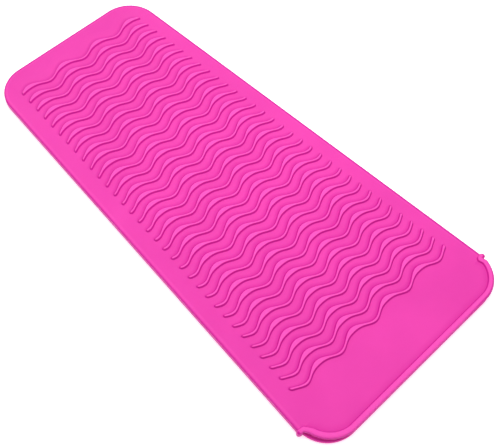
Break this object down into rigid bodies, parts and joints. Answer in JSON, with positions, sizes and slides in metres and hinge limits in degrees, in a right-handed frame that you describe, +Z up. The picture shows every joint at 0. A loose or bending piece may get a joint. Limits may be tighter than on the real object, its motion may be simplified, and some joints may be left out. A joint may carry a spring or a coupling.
{
  "type": "silicone heat mat pouch",
  "caption": "Tapered two-sheet silicone pouch with wavy ribs and a beaded mouth, which holds or rests a hot hair iron.",
  "frame": {"origin": "middle of the footprint, on the surface that the pouch lies on", "axes": "+Y along the pouch from the open mouth to the closed end, +Z up out of the ribbed face, +X across to the right when seen from the mouth"},
  "size_m": [0.1416, 0.29, 0.0062],
  "materials": {
    "silicone_sheet": "satin moulded silicone, hot pink",
    "silicone_ribs": "satin moulded silicone ribs, hot pink",
    "silicone_bead": "smooth satin moulded silicone bead, hot pink"
  },
  "bodies": {
    "pouch": {"bottom_sheet": "silicone_sheet", "underside_ribs": "silicone_ribs", "top_sheet": "silicone_sheet", "top_ribs": "silicone_ribs", "seam_left": "silicone_sheet", "seam_right": "silicone_sheet", "seam_closed_end": "silicone_sheet", "ear_left": "silicone_bead", "ear_right": "silicone_bead", "lower_lip_rim": "silicone_sheet"},
    "upper_lip": {"upper_lip": "silicone_sheet", "lip_bead": "silicone_bead"}
  },
  "joints": [
    {"name": "upper_lip_lift", "type": "hinge", "parent": "pouch", "child": "upper_lip", "pos_m": [0, -0.131, 0.0042], "axis": [-1, 0, 0], "range_deg": [0, 90], "stiffness_Nm_per_rad": 0.015}
  ]
}
